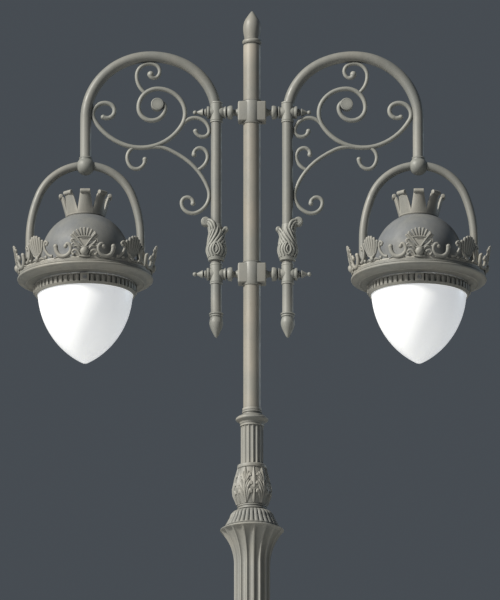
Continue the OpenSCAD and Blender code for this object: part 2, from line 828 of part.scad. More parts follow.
hinge_pin(-1);  // left_hinge_pin
catch(-1);  // left_catch
arm_tube(1);  // right_arm_tube
main_scroll(1);  // right_main_scroll
lower_scroll(1);  // right_lower_scroll
leaf_sleeve(1);  // right_leaf_sleeve
arm_finial(1);  // right_arm_finial
ball_joint(1);  // right_ball_joint
yoke(1);  // right_yoke
vent_crown(1);  // right_vent_crown
dome(1);  // right_dome
flange(1);  // right_flange
crown_ornament(1);  // right_crown_ornament
gear_tray(1);  // right_gear_tray
gear_box(1);  // right_gear_box
lamp_holder(1);  // right_lamp_holder
lamp_bulb(1);  // right_lamp_bulb
globe_ring(1);  // right_globe_ring
globe_gasket(1);  // right_globe_gasket
globe(1);  // right_globe
hinge_pin(1);  // right_hinge_pin
catch(1);  // right_catch
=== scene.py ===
import math

import bmesh
import bpy
from mathutils import Matrix, Vector


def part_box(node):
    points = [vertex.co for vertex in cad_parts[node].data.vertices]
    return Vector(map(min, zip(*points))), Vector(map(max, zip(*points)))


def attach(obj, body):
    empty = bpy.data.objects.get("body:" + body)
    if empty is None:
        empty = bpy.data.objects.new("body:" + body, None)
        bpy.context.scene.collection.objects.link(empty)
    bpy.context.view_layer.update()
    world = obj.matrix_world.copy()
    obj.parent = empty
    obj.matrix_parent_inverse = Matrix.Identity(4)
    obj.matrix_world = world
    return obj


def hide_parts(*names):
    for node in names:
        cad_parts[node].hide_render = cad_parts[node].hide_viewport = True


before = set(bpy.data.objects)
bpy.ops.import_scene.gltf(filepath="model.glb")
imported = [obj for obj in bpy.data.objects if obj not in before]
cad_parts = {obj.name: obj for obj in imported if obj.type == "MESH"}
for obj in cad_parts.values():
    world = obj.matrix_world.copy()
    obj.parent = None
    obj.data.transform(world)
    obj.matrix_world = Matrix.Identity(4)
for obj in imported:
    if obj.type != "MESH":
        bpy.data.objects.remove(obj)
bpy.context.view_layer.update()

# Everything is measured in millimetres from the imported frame, and scaled to metres when a mesh is made.
MM = 0.001
POST = "post"


# ---- places from the frame ----

def low(node, axis=2):
    """Lowest coordinate of a CAD node along an axis."""
    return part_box(node)[0][axis] / MM


def high(node, axis=2):
    """Highest coordinate of a CAD node along an axis."""
    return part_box(node)[1][axis] / MM


def middle(node, axis=2):
    """Middle of a CAD node along an axis."""
    return (low(node, axis) + high(node, axis)) / 2


POLE_R = high("pole_tube", 0)
ARM_X = middle("right_arm_finial", 0)
LAMP_X = middle("right_globe", 0)
ARM_R = 24.15
ARM_FINIAL_TALL = 111
UPPER, LOWER = middle("upper_clamp"), middle("lower_clamp")
FLANGE_Z = low("right_dome")
FLANGE_LOW = FLANGE_Z - 47
RING_LOW = low("right_globe_ring")
RING_TOP = RING_LOW + 45
HINGE_Y, HINGE_Z = high("right_globe_ring", 1) - 7, RING_TOP - 6
FLUTES = 16
ARRIS_TURN = math.radians(-85)


# ---- meshes ----

def arc(x, z, r, start, end, steps):
    """Points on a circular arc in the (r, z) plane, angles in degrees."""
    turns = [math.radians(start + (end - start) * i / steps) for i in range(steps + 1)]
    return [(x + r * math.cos(t), z + r * math.sin(t)) for t in turns]


def curve(points, steps):
    """A smooth curve through control points of any dimension, in `steps` stretches from one to the next."""
    made = []
    last = len(points) - 1
    for i in range(last):
        a, b = points[max(i - 1, 0)], points[i]
        c, d = points[i + 1], points[min(i + 2, last)]
        for k in range(steps):
            t = k / steps
            made.append(tuple(
                0.5 * (2 * q + (r - p) * t + (2 * p - 5 * q + 4 * r - s) * t ** 2
                       + (3 * q - p - 3 * r + s) * t ** 3)
                for p, q, r, s in zip(a, b, c, d)))
    return made + [tuple(points[last])]


def lathe(outline, segments, warp=None, first=0.0, at=(0, 0, 0)):
    """Solid of revolution about Z. The outline runs from axis to axis, or closes on itself.

    warp gives a new (r, z) for a point (r, z, turn), first is where the first segment starts, and at is
    where the solid's origin goes.
    """
    points, faces, rings = [], [], []
    for r, z in outline:
        if r < 1e-6:
            rings.append([len(points)] * segments)
            points.append((at[0], at[1], at[2] + z))
            continue
        rings.append(list(range(len(points), len(points) + segments)))
        for j in range(segments):
            turn = first + 2 * math.pi * j / segments
            wr, wz = warp(r, z, turn) if warp else (r, z)
            points.append((at[0] + wr * math.cos(turn), at[1] + wr * math.sin(turn), at[2] + wz))
    on_axis = outline[0][0] < 1e-6
    for i in range(len(rings) - (1 if on_axis else 0)):
        a, b = rings[i], rings[(i + 1) % len(rings)]
        for j in range(segments):
            k = (j + 1) % segments
            corners = []
            for v in (a[j], a[k], b[k], b[j]):
                if v not in corners:
                    corners.append(v)
            if len(corners) > 2:
                faces.append(tuple(corners))
    return points, faces


def bored(outline, bore):
    """The outline of an outer surface from bottom to top, closed down a straight bore."""
    return [(bore, outline[0][1])] + list(outline) + [(bore, outline[-1][1])]


def sweep(path, radii, sides, up=(0, 1, 0)):
    """Round bar along points; its section keeps one side towards `up`. radii is a number or one per point."""
    path = [Vector(p) for p in path]
    if not hasattr(radii, "__len__"):
        radii = [radii] * len(path)
    points, faces = [], []
    up = Vector(up)
    for i, p in enumerate(path):
        along = (path[min(i + 1, len(path) - 1)] - path[max(i - 1, 0)]).normalized()
        side = along.cross(up).normalized()
        top = side.cross(along)
        for j in range(sides):
            t = 2 * math.pi * j / sides
            points.append(p + radii[i] * (math.cos(t) * side + math.sin(t) * top))
    for i in range(len(path) - 1):
        for j in range(sides):
            a, b = i * sides + j, i * sides + (j + 1) % sides
            faces.append((a, b, b + sides, a + sides))
    faces.append(tuple(range(sides)))
    faces.append(tuple(range((len(path) - 1) * sides, len(path) * sides)))
    return points, faces


def slab(count_u, count_v, front, back):
    """Closed sheet between two surfaces, each a function of u and v from 0 to 1."""
    points, faces = [], []
    side = (count_u + 1) * (count_v + 1)
    for surface in (front, back):
        for i in range(count_u + 1):
            for j in range(count_v + 1):
                points.append(Vector(surface(i / count_u, j / count_v)))

    def at(i, j):
        return i * (count_v + 1) + j

    for i in range(count_u):
        for j in range(count_v):
            quad = (at(i, j), at(i + 1, j), at(i + 1, j + 1), at(i, j + 1))
            faces.append(quad)
            faces.append(tuple(side + v for v in reversed(quad)))
    rim = [at(i, 0) for i in range(count_u)] + [at(count_u, j) for j in range(count_v)]
    rim += [at(i, count_v) for i in range(count_u, 0, -1)] + [at(0, j) for j in range(count_v, 0, -1)]
    for a, b in zip(rim, rim[1:] + rim[:1]):
        faces.append((b, a, side + a, side + b))
    return points, faces


def moved(solid, matrix):
    """A solid's copy under a matrix."""
    points, faces = solid
    return [matrix @ Vector(p) for p in points], faces


def outward(side, z, towards=1):
    """Lays a solid about Z on a horizontal axis from an arm tube: away from the post, or back with -1."""
    turn = Matrix.Rotation(math.radians(90 * side * towards), 4, "Y")
    return Matrix.Translation((side * ARM_X, 0, z)) @ turn


def along_y(x, z):
    """Lays a solid about Z on an axis along Y."""
    return Matrix.Translation((x, 0, z)) @ Matrix.Rotation(math.radians(90), 4, "X")


def mirrored(solid, side):
    """Mirrors a solid made for the right-hand side onto the left."""
    return solid if side > 0 else moved(solid, Matrix.Scale(-1, 4, (1, 0, 0)))


def at_lamp(side, solid):
    """Moves a solid made about the post's axis to a lamp's axis."""
    return moved(solid, Matrix.Translation((side * LAMP_X, 0, 0)))


def block(size, centre, edge, steps):
    """Box with rounded edges."""
    bm = bmesh.new()
    bmesh.ops.create_cube(bm, size=1)
    for v in bm.verts:
        v.co = Vector(v.co[i] * size[i] + centre[i] for i in range(3))
    bmesh.ops.bevel(bm, geom=bm.edges[:], offset=edge, segments=steps, profile=0.5, affect="EDGES")
    bm.verts.index_update()
    solid = [v.co.copy() for v in bm.verts], [tuple(v.index for v in f.verts) for f in bm.faces]
    bm.free()
    return solid


def ball(centre, r, squash, segments):
    """Turned ball, pressed along Y by squash."""
    outline = [(0, -r)] + arc(0, 0, r, -80, 80, 10) + [(0, r)]
    points, faces = lathe(outline, segments)
    return [Vector((p[0] + centre[0], p[1] * squash + centre[1], p[2] + centre[2])) for p in points], faces


def bar(points, radii, sides, lift, flat=0.8):
    """Raised bar in the flat drawing: points are (x, z); radii one number or one per control point."""
    if not hasattr(radii, "__len__"):
        radii = [radii] * len(points)
    line = curve([(x, z, r) for (x, z), r in zip(points, radii)], 5)
    solid = sweep([(x, 0, z) for x, z, _ in line], [r for _, _, r in line], sides)
    return [Vector((p[0], p[1] * flat - lift, p[2])) for p in solid[0]], solid[1]


def knob(x, z, r, lift):
    """Slightly flattened ball in the flat drawing."""
    return ball((x, -lift, z), r, 0.85, 20)


def petal(start, bend, tip, width, height, lift=1.0):
    """Crowned leaf with a midrib from start over bend to tip, all (x, z) in the flat drawing."""
    line = curve([start, bend, tip], 8)
    count = len(line) - 1

    def spot(u, v, raised):
        i = u * count
        k = min(int(i), count - 1)
        f = i - k
        x = line[k][0] * (1 - f) + line[k + 1][0] * f
        z = line[k][1] * (1 - f) + line[k + 1][1] * f
        dx, dz = line[k + 1][0] - line[k][0], line[k + 1][1] - line[k][1]
        size = math.hypot(dx, dz)
        s = 2 * v - 1
        half = width * math.sin(math.pi * (0.06 + 0.91 * u) ** 0.7) + 0.4
        crown = height * (1 - s * s) * (0.35 + 0.65 * math.sin(math.pi * u))
        up = (crown + 1.3 * math.exp(-(s / 0.16) ** 2)) * raised
        return (x - dz / size * s * half, -lift - up + (0 if raised else 3.5), z + dx / size * s * half)

    return slab(14, 10, lambda u, v: spot(u, v, 1), lambda u, v: spot(u, v, 0))


def plate(outline, front, back):
    """Flat plate between two depths with a straight edge; the outline is (x, z)."""
    count = len(outline)
    points = [(x, -front, z) for x, z in outline] + [(x, -back, z) for x, z in outline]
    faces = [tuple(range(count)), tuple(reversed(range(count, 2 * count)))]
    faces += [(i, (i + 1) % count, count + (i + 1) % count, count + i) for i in range(count)]
    return points, faces


def on_profile(solid, radius_at, turn, scale_r):
    """Lays a flat drawing (x across, -y outward, z up) on a turned surface; x is measured at scale_r."""
    points, faces = solid
    made = []
    for x, y, z in points:
        r = radius_at(z) - y
        at = math.radians(turn) + x / scale_r
        made.append(Vector((r * math.cos(at), r * math.sin(at), z)))
    return made, faces


def profile(rows):
    """Radius at any height of a smooth outline through the rows (radius, height)."""
    line = curve(rows, 8)

    def radius_at(z):
        for (ra, za), (rb, zb) in zip(line, line[1:]):
            if z <= zb:
                share = (z - za) / (zb - za) if zb > za else 0.0
                return ra + (rb - ra) * max(0.0, share)
        return line[-1][0]
    return radius_at


def piece(node, solids, material, body=POST, sharp=34):
    """One visible piece in place of a CAD node, made of closed solids in millimetres."""
    name = f"{node}_detail"
    points, faces = [], []
    for solid_points, solid_faces in solids:
        base = len(points)
        points.extend(Vector(p) * MM for p in solid_points)
        faces.extend(tuple(base + i for i in f) for f in solid_faces)
    mesh = bpy.data.meshes.new(name)
    mesh.from_pydata(points, [], faces)
    bm = bmesh.new()
    bm.from_mesh(mesh)
    bmesh.ops.recalc_face_normals(bm, faces=bm.faces[:])
    bm.to_mesh(mesh)
    bm.free()
    mesh.shade_smooth()
    mesh.set_sharp_from_angle(angle=math.radians(sharp))
    mesh.materials.append(material)
    made = bpy.data.objects.new(name, mesh)
    bpy.context.scene.collection.objects.link(made)
    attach(made, body)
    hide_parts(node)


# ---- materials ----

def node_tree(name):
    """New material with its node tree and its shader."""
    material = bpy.data.materials.new(name)
    material.use_nodes = True
    tree = material.node_tree
    return material, tree, tree.nodes["Principled BSDF"]


def noise(tree, scale, stretch=(1, 1, 1), detail=4.0, rough=0.55):
    """Noise in the object's own coordinates; returns its value output."""
    place = tree.nodes.new("ShaderNodeTexCoord")
    mapping = tree.nodes.new("ShaderNodeMapping")
    mapping.inputs["Scale"].default_value = stretch
    texture = tree.nodes.new("ShaderNodeTexNoise")
    texture.inputs["Scale"].default_value = scale
    texture.inputs["Detail"].default_value = detail
    texture.inputs["Roughness"].default_value = rough
    tree.links.new(place.outputs["Object"], mapping.inputs["Vector"])
    tree.links.new(mapping.outputs["Vector"], texture.inputs["Vector"])
    return texture.outputs["Fac"]


def remap(tree, value, low_in, high_in, low_out=0.0, high_out=1.0):
    """Straight change of range, held at its two ends."""
    node = tree.nodes.new("ShaderNodeMapRange")
    for socket, number in zip(node.inputs[1:5], (low_in, high_in, low_out, high_out)):
        socket.default_value = number
    tree.links.new(value, node.inputs["Value"])
    return node.outputs["Result"]


def mixed(tree, fac, a, b):
    """Colour mix of two colours or sockets."""
    node = tree.nodes.new("ShaderNodeMix")
    node.data_type = "RGBA"
    tree.links.new(fac, node.inputs["Factor"])
    for socket, source in ((node.inputs[6], a), (node.inputs[7], b)):
        if isinstance(source, bpy.types.NodeSocket):
            tree.links.new(source, socket)
        else:
            socket.default_value = (*source, 1)
    return node.outputs[2]


def bumped(tree, shader, height, strength, distance):
    """Roughens a shader's surface by a height value; distance is in metres."""
    node = tree.nodes.new("ShaderNodeBump")
    node.inputs["Strength"].default_value = strength
    node.inputs["Distance"].default_value = distance
    tree.links.new(height, node.inputs["Height"])
    tree.links.new(node.outputs["Normal"], shader.inputs["Normal"])


def crevices(tree, reach):
    """1 in the open, falling towards 0 in corners."""
    node = tree.nodes.new("ShaderNodeAmbientOcclusion")
    node.samples = 4
    node.inputs["Distance"].default_value = reach
    return node.outputs["AO"]


def paint(name, tint, warm, crevice_shade, rough, grain=0.25, reach=0.02, streaks=0.5, hidden=0.3):
    """Weathered paint over metal: broad tint changes, rain streaks, painted shade in corners, wear on edges.
    """
    material, tree, shader = node_tree(name)
    broad = remap(tree, noise(tree, 5.0, detail=3), 0.36, 0.64)
    streaky = remap(tree, noise(tree, 26.0, (1, 1, 0.07), detail=5), 0.42, 0.75, 0.0, streaks)
    speckle = remap(tree, noise(tree, 190.0, detail=3), 0.55, 0.8, 0.0, 0.45)
    colour = mixed(tree, broad, tint, warm)
    colour = mixed(tree, streaky, colour, [0.72 * c for c in tint])
    colour = mixed(tree, speckle, colour, [0.55 * c for c in tint])
    # Painted shade: the colour darkens towards the paint's third colour in corners, recesses and between
    # parts, where nearby surfaces close in.
    open_sky = remap(tree, crevices(tree, reach), hidden, 0.9)
    colour = mixed(tree, open_sky, crevice_shade, colour)
    point = tree.nodes.new("ShaderNodeNewGeometry").outputs["Pointiness"]
    worn = remap(tree, point, 0.515, 0.58, 0.0, 0.55)
    colour = mixed(tree, worn, colour, [min(1.0, 1.35 * c + 0.03) for c in warm])
    tree.links.new(colour, shader.inputs["Base Color"])
    tree.links.new(remap(tree, noise(tree, 38.0), 0.3, 0.7, rough - 0.08, rough + 0.1),
                   shader.inputs["Roughness"])
    shader.inputs["Specular IOR Level"].default_value = 0.45
    bumped(tree, shader, noise(tree, 330.0, detail=6, rough=0.65), grain, 0.0012)
    return material


def plain(name, tint, rough, metallic=0.0, grain=0.1, scale=300.0, spread=0.18):
    """Simple finish with a fine grain and slight changes of tint."""
    material, tree, shader = node_tree(name)
    fine = remap(tree, noise(tree, scale * 0.15), 0.35, 0.65)
    dark = [c * (1 - spread) for c in tint]
    tree.links.new(mixed(tree, fine, dark, tint), shader.inputs["Base Color"])
    tree.links.new(remap(tree, noise(tree, scale * 0.3), 0.3, 0.7, rough - 0.05, rough + 0.1),
                   shader.inputs["Roughness"])
    shader.inputs["Metallic"].default_value = metallic
    bumped(tree, shader, noise(tree, scale, detail=4), grain, 0.0006)
    return material


def opal():
    """White opal acrylic: bright with a painted glow of its own, slightly translucent, with faint dust
    streaks near the rim.
    """
    material, tree, shader = node_tree("opal_globe")
    dust = remap(tree, noise(tree, 14.0, (1, 1, 0.25), detail=5), 0.45, 0.8, 0.0, 0.35)
    tree.links.new(mixed(tree, dust, (0.93, 0.945, 0.96), (0.80, 0.81, 0.80)),
                   shader.inputs["Base Color"])
    tree.links.new(remap(tree, noise(tree, 30.0), 0.3, 0.7, 0.34, 0.46), shader.inputs["Roughness"])
    shader.inputs["Subsurface Weight"].default_value = 0.35
    shader.inputs["Subsurface Radius"].default_value = (0.02, 0.02, 0.022)
    shader.inputs["Coat Weight"].default_value = 0.08
    shader.inputs["Coat Roughness"].default_value = 0.3
    # Painted glow: the globe gives off a faint bluish-white light of its own although the lamp is not lit.
    shader.inputs["Emission Color"].default_value = (0.93, 0.96, 1.0, 1)
    shader.inputs["Emission Strength"].default_value = 0.42
    bumped(tree, shader, noise(tree, 60.0, detail=3), 0.04, 0.0006)
    return material


# Each paint's third colour is the painted shade for its corners and recesses.
CAST = paint("cast_paint", (0.25, 0.257, 0.246), (0.31, 0.302, 0.268), (0.04, 0.044, 0.046), 0.5,
             reach=0.03, hidden=0.34)
ARM_CAST = paint("arm_cast_paint", (0.255, 0.265, 0.25), (0.30, 0.305, 0.28), (0.06, 0.065, 0.065), 0.48,
                 grain=0.15, streaks=0.3)
TUBE = paint("tube_paint", (0.275, 0.275, 0.25), (0.34, 0.315, 0.27), (0.11, 0.11, 0.105), 0.44,
             grain=0.08, streaks=0.45)
ARM_TUBE = paint("arm_tube_paint", (0.225, 0.235, 0.225), (0.27, 0.268, 0.245), (0.09, 0.095, 0.095), 0.46,
                 grain=0.1, streaks=0.35)
LAMP_CAST = paint("lamp_cast_paint", (0.27, 0.275, 0.258), (0.325, 0.315, 0.28), (0.05, 0.054, 0.056), 0.52,
                  reach=0.022, hidden=0.3)
DOME = paint("dome_paint", (0.165, 0.18, 0.20), (0.22, 0.225, 0.218), (0.045, 0.052, 0.065), 0.6,
             grain=0.12, streaks=0.4)
STEEL = plain("bare_steel", (0.62, 0.61, 0.59), 0.34, metallic=0.9, grain=0.12)
MOULDING = plain("black_moulding", (0.035, 0.036, 0.038), 0.5)
CERAMIC = plain("white_ceramic", (0.82, 0.81, 0.78), 0.22, spread=0.06)
BULB = plain("bulb_coating", (0.88, 0.88, 0.86), 0.3, spread=0.05)
RUBBER = plain("gasket_rubber", (0.03, 0.03, 0.03), 0.7, grain=0.2)
OPAL = opal()


def finish_node(material, *nodes):
    """Gives CAD nodes that stay in view their material."""
    for name in nodes:
        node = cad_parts[name]
        node.data.materials.clear()
        node.data.materials.append(material)


finish_node(CAST, "base_plate", "pedestal", "access_door")
finish_node(STEEL, "door_hinge_pins", "door_lock", "neck_set_screws", "clamp_screws")
finish_node(MOULDING, "fuse_box")
for side_name in ("left", "right"):
    finish_node(STEEL, f"{side_name}_gear_tray", f"{side_name}_hinge_pin", f"{side_name}_catch")
    finish_node(MOULDING, f"{side_name}_gear_box")
    finish_node(CERAMIC, f"{side_name}_lamp_holder")
    finish_node(BULB, f"{side_name}_lamp_bulb")
    finish_node(RUBBER, f"{side_name}_globe_gasket")


# ---- column ----

def fluting(depth, foot=None, head=None, end=15.0):
    """Warp that cuts concave flutes with narrow fillets between them, and round ends at foot and head.

    depth gives the flutes' depth at a radius; end is the length of a round end.
    """
    edge = 0.83

    def warp(radius, z, turn):
        share = ((turn - ARRIS_TURN) * FLUTES / (2 * math.pi)) % 1.0
        across = 2 * share - 1
        past = 0.0
        if foot is not None:
            past = max(past, (foot + end - z) / end)
        if head is not None:
            past = max(past, (z - head + end) / end)
        cut = max(0.0, 1 - (across / edge) ** 2 - max(0.0, past) ** 2) ** 0.62
        return radius - depth(radius) * cut, z
    return warp


def column():
    """Fluted column that flares into a scalloped cup with a thin round lip, and a short plain foot."""
    z0, z1 = low("fluted_column"), high("fluted_column")
    foot = z0 + 60
    shaft_r, flare_r, flare_z = 78, 230, z1 - 160
    outline = [(shaft_r, z0)] + [(shaft_r, foot - 4 + 2.5 * i) for i in range(12)]
    outline += [(shaft_r, foot + 40 + (flare_z - foot - 40) * i / 8) for i in range(9)]
    outline += arc(shaft_r + flare_r, flare_z, flare_r, 179, 139.5, 18)
    outline += [(134.6, z1 - 9.4), (135.4, z1 - 7.6)]
    outline += arc(136, z1 - 4.4, 2.2, -70, 90, 5) + [(110, z1)]

    def depth(r):
        if r < 70 or r > 135:
            return 0
        return (7.8 + (r - shaft_r) * 0.05) * min(1.0, 0.35 + (135.2 - r) / 6)

    solid = lathe(bored(outline, POLE_R + 1), FLUTES * 16, fluting(depth, foot), ARRIS_TURN)
    piece("fluted_column", [solid], CAST, sharp=30)


def gadroons():
    """Ring of thirty-two gadroons that swells from the vase's foot out to the cup's lip."""
    lobes, plain_foot, crown, groove = 32, 9, 84, 0.062

    def warp(r, z, turn):
        lobe = 2 * (((turn - ARRIS_TURN) * lobes / (2 * math.pi)) % 1.0) - 1
        if r < POLE_R + 4 or z < plain_foot:
            return r, z
        ends = min(1.0, (z - plain_foot) / 7) * min(1.0, (crown - z) / 10)
        return r + 1.2 - (groove * r) * abs(lobe) ** 2.4 * ends, z

    outline = [(127, 0), (121, 3), (117, 8)]
    outline += curve([(117.6, 10), (113.4, 19), (108, 29), (103.4, 38), (98.6, 46), (95.4, 56), (91.6, 65),
                      (82, 75.5), (72, 80.4), (66, 81)], 4)
    solid = lathe(bored(outline, POLE_R + 1), lobes * 16, warp, ARRIS_TURN, (0, 0, low("gadroon_ring")))
    piece("gadroon_ring", [solid], CAST, sharp=40)


def acanthus(lean):
    """One acanthus leaf in the flat: a strong midrib, stems that fan out from the foot and curled lobes."""
    rib = [(0, 27), (0, 60), (lean, 100), (3 * lean, 140), (5 * lean, 184)]
    solids = [bar(rib, [5.2, 5.6, 5.2, 4.4, 2.6], 12, 1.6, 0.8)]
    solids.append(petal((2 * lean, 112), (4 * lean, 152), (6 * lean, 192), 12, 4.5, 0.6))
    for s in (-1, 1):
        for foot, reach, rise in ((29, 27, 56), (72, 28, 48), (116, 22, 42)):
            mid = (s * reach * 0.55, foot + rise * 0.42)
            far = (s * reach * 0.98, foot + rise * 0.86)
            hook = (s * (reach + 6), foot + rise * 0.66)
            solids.append(bar([(s * 3, foot), mid, far, hook], [4.4, 6.8, 7.6, 7.0], 12, 0.4, 0.56))
            solids.append(petal((s * 3, foot), (s * reach * 0.42, foot + rise * 0.66),
                                (s * (reach - 6), foot + rise * 1.2), 10.0, 4.0, 0.4))
    return solids


def vase():
    """Bulbous vase wrapped in six acanthus leaves, with pointed leaves behind them, between plain rings."""
    z0 = low("leaf_vase")
    body = [(63.6, 25), (65, 30), (71.6, 47), (79.6, 70), (82, 93), (78, 116), (73, 138), (66.4, 161),
            (60.6, 186)]
    outline = [(62, 0), (62.4, 2)] + arc(60.6, 7.2, 4.4, -75, 75, 7) + [(61.6, 12.4), (61.6, 14.8)]
    outline += arc(60.4, 19.6, 4.2, -75, 75, 7) + curve(body, 6) + [(60.6, 187.5)]
    outline += arc(59.4, 192.6, 4.8, -80, 10, 6) + [(64.2, 198)] + arc(59.6, 201.6, 4.4, 5, 90, 5)
    outline += [(48, 206.4), (44, 207), (44, high("leaf_vase") - z0)]
    solids = [lathe(bored(outline, POLE_R + 1), 96)]
    radius_at = profile(body)
    leaves, first_turn, drawn_r = 6, -113, 87
    for i in range(leaves):
        turn = first_turn + i * 360 / leaves
        for leaf in acanthus(1 if i % 2 else -1):
            solids.append(on_profile(leaf, radius_at, turn, drawn_r))
        behind = [petal((0, 90), (0, 140), (0, 188), 13, 3.4, 0.2),
                  petal((0, 27), (0, 52), (0, 84), 9, 4.0, 0.4)]
        for leaf in behind:
            solids.append(on_profile(leaf, radius_at, turn + 180 / leaves, drawn_r))
    lift = Matrix.Translation((0, 0, z0))
    piece("leaf_vase", [moved(s, lift) for s in solids], CAST, sharp=45)


def neck():
    """Neck fluted over its whole length, and moulded capital."""
    z0 = low("leaf_vase") + 201
    top = high("fluted_neck")
    cap = top - 88
    shaft_r = 48.7
    head = cap + 7
    rows = [z0 + (head - z0 - 10) * i / 5 for i in range(6)]
    rows += [head - 8 + 1.6 * i for i in range(6)]
    outline = [(shaft_r, z) for z in rows] + [(51.4, cap + 7.4), (51.8, cap + 12), (50.6, cap + 12.6)]
    outline += [(50.6, cap + 16), (52.4, cap + 18)] + arc(66, cap + 18, 13, 178, 100, 6)
    outline += [(65, cap + 31.5)] + arc(64, cap + 39, 7, -70, 90, 9)
    outline += [(62, cap + 47), (62, cap + 50), (54, cap + 54), (44, cap + 58)]
    outline += [(40.5, cap + 60), (40.5, cap + 64)] + arc(37, cap + 70.5, 6.3, -60, 60, 6)
    outline += [(41.5, cap + 78), (41.5, top)]

    def depth(r):
        return 4.2 if r < shaft_r + 0.3 else 0

    solid = lathe(bored(outline, POLE_R + 0.3), FLUTES * 16, fluting(depth, None, head, 4), ARRIS_TURN)
    piece("fluted_neck", [solid], CAST, sharp=32)


def pole():
    """Pole tube with its bead, waist and bud on top."""
    z0, z1 = low("pole_tube"), high("pole_tube")
    outer = [(POLE_R, z0 + (z1 - z0) * i / 24) for i in range(25)]
    piece("pole_tube", [lathe(bored(outer, POLE_R - 3.6), 96)], TUBE)
    rings = [(0, z1), (36.5, z1)] + arc(35, z1 + 2, 3, -60, 60, 4) + [(35.5, z1 + 6)]
    rings += arc(30, z1 + 18, 12.3, -75, 75, 12)
    rings += [(r, z1 + z) for r, z in curve(
        [(33.4, 31), (33.6, 36), (34.8, 44), (37.5, 60), (39, 77), (38, 95), (33.5, 113), (26, 127),
         (17, 141), (9, 152), (4, 158)], 4)]
    rings += [(0, z1 + 160)]
    piece("pole_finial", [lathe(rings, 80)], CAST, sharp=40)


# ---- clamps and spindles ----

def clamp(name):
    """Sleeve round the pole with a soft-edged block that carries the two spindles."""
    z = middle(name)
    half = (high(name) - low(name)) / 2
    width = high(name, 0) - low(name, 0)
    outline = arc(40.4, -half + 3.5, 1.8, -90, 90, 4) + [(41.2, -half + 7), (41.2, half - 7)]
    outline += arc(40.4, half - 3.5, 1.8, -90, 90, 4)
    sleeve = lathe(bored(outline, POLE_R + 0.1), 80, at=(0, 0, z))
    body = block((width, 70, 89), (0, 0, z), 6, 4)
    faces = [block((4, 50, 69), (s * (width / 2 - 1.2), 0, z), 1.2, 2) for s in (-1, 1)]
    piece(name, [sleeve, body] + faces, CAST)


def spindle_parts():
    """Outlines of a spindle, a finial and a collar on an arm tube: (radius, distance from their middle)."""
    stem = [(0, 12), (25.4, 12), (25.2, 24), (23, 31)] + curve([(23, 31), (24.5, 34), (27.5, 38.5)], 3)[1:]
    stem += [(27, 40.4), (14.5, 41), (14, 43)]
    stem += curve([(20, 44), (26.5, 49), (30, 56), (31, 63.5), (29.4, 69)], 4)
    stem += [(16, 71)] + curve([(14, 73), (13, 77), (14.4, 85), (19.5, 94)], 4) + [(22, 94.3), (0, 94.3)]
    tip = [(0, 12), (25.4, 12), (25, 24), (24, 28)] + curve([(25, 29), (27.4, 32), (28, 37), (27, 41.4)], 3)
    tip += [(14.5, 42.5)] + arc(12.5, 47.5, 5, -70, 75, 6) + [(10, 55.5), (10, 57.5)]
    tip += curve([(17.4, 58.6), (17.6, 61), (13.4, 69), (8.6, 78), (6, 83)], 3)
    tip += [(5, 86)] + arc(0, 93.5, 9.4, -55, 85, 9) + [(0, 102.9)]
    collar = [(26, -46), (27.6, -45), (27.8, -40), (26.6, -38.5), (27.8, -37), (27.8, 37), (26.6, 38.5),
              (27.8, 40), (27.6, 45), (26, 46)]
    return stem, tip, collar


def side_spindles():
    """A spindle, a finial and a collar on each arm tube at the height of each clamp."""
    stem, tip, collar = spindle_parts()
    stems, tips, collars = [], [], []
    for side in (-1, 1):
        for z in (UPPER, LOWER):
            stems.append(moved(lathe(stem, 56), outward(side, z, -1)))
            tips.append(moved(lathe(tip, 56), outward(side, z)))
            collars.append(lathe(bored(collar, ARM_R + 0.1), 64, at=(side * ARM_X, 0, z)))
    piece("spindles", stems, ARM_CAST)
    piece("spindle_finials", tips, ARM_CAST)
    piece("arm_collars", collars, ARM_CAST)


column()
gadroons()
vase()
neck()
pole()
clamp("upper_clamp")
clamp("lower_clamp")
side_spindles()


# ---- arms ----

def turtle(x, z, heading, arcs, step):
    """Points in the XZ plane along tangent arcs (radius, angle); a negative radius bends to the right.

    heading and the arcs' angles are in degrees, and a stretch between points turns by about step.
    """
    made = [(x, 0, z)]
    for r, angle in arcs:
        count = max(2, math.ceil(angle / step))
        for i in range(1, count + 1):
            turned = heading + math.copysign(angle, r) * i / count
            made.append((x + r * (math.sin(math.radians(turned)) - math.sin(math.radians(heading))), 0,
                         z - r * (math.cos(math.radians(turned)) - math.cos(math.radians(heading)))))
        x, _, z = made[-1]
        heading += math.copysign(angle, r)
    return made


def arm_tube(side, name):
    """Straight tube that bends over in one arch and comes down into the lamp's ball joint."""
    foot = low(f"{name}_arm_finial") + ARM_FINIAL_TALL
    end = high(f"{name}_ball_joint") - 4
    spring = UPPER - 11
    path = [(ARM_X, 0, foot + (spring - foot) * i / 12) for i in range(12)]
    path += turtle(ARM_X, spring, 90, [(-259, 65), (-326, 25), (-283, 90)], 4)
    path += [(path[-1][0], 0, end)]
    tube = sweep(path, ARM_R, 40)
    piece(f"{name}_arm_tube", [mirrored(tube, side)], ARM_TUBE)


def scroll(start, heading, arcs, bar_r, end_r, bluff=True):
    """Round bar along arcs that swells into a drop-shaped ball.

    With bluff it starts a little thinner, inside the bar that it springs from.
    """
    path = turtle(ARM_X + start[0], UPPER + start[1], heading, arcs, 6)
    back = 5 if bluff else 0
    along = math.radians(heading)
    path[0] = (path[0][0] - back * math.cos(along), 0, path[0][2] - back * math.sin(along))
    length = [0.0]
    for a, b in zip(path, path[1:]):
        length.append(length[-1] + math.dist(a, b))
    total = length[-1]
    swelling = 2.6 * end_r
    radii = []
    for s in length:
        r = bar_r * min(1.0, 0.82 + 0.18 * s / 26) if bluff else bar_r
        left = (total - s) / swelling
        if left < 1:
            r = bar_r * 0.92 + (end_r * 0.97 - bar_r * 0.92) * (1 - left) ** 1.5
        radii.append(r)
    return [sweep(path, radii, 20), ball(path[-1], end_r, 1.0, 24)]


